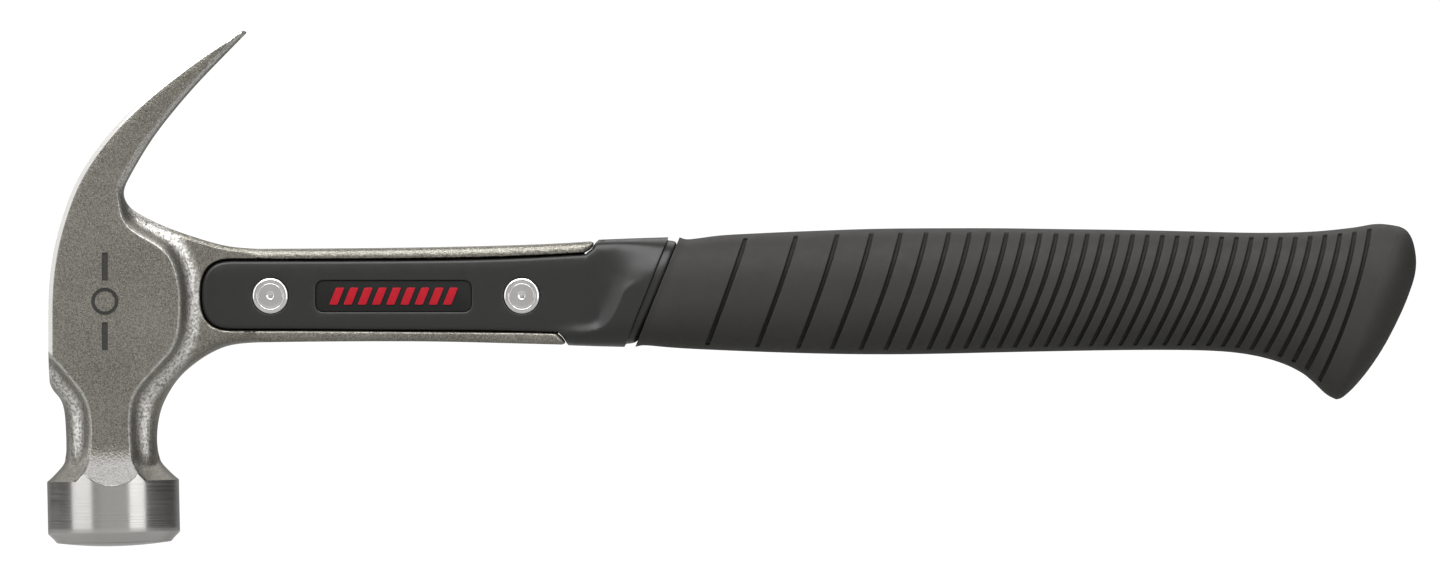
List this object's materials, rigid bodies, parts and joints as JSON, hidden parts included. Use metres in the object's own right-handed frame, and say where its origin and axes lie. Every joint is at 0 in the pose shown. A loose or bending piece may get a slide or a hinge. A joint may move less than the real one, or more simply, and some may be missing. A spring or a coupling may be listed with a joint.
{
  "type": "claw hammer",
  "caption": "Claw hammer: one-piece forged steel head and shank, black plastic core riveted between its rails, and a ribbed dark rubber grip with a hooked butt.",
  "frame": {"origin": "middle of the crowned striking face, where it stands out furthest", "axes": "+X along the handle from the head to the butt, +Z from the striking face up through the neck to the claws, Y across the thickness; the user's left is -Y"},
  "size_m": [0.343, 0.033, 0.1288],
  "materials": {
    "lacquered_steel": "clear-lacquered blasted steel with a turned bright striking end and ground claw edges",
    "core_plastic": "satin gloss moulded nylon",
    "rivet_metal": "polished",
    "badge_plastic": "fine matt texture",
    "mark_plastic": "raised glossy red",
    "grip_rubber": "matt, finely textured"
  },
  "bodies": {
    "root": {"forged_head_and_tang": "lacquered_steel", "left_core_half": "core_plastic", "right_core_half": "core_plastic", "rivet_posts": "rivet_metal", "rivet_caps": "rivet_metal", "left_badge_plate": "badge_plastic", "right_badge_plate": "badge_plastic", "left_badge_marks": "mark_plastic", "right_badge_marks": "mark_plastic", "grip_sleeve": "grip_rubber"}
  },
  "joints": []
}
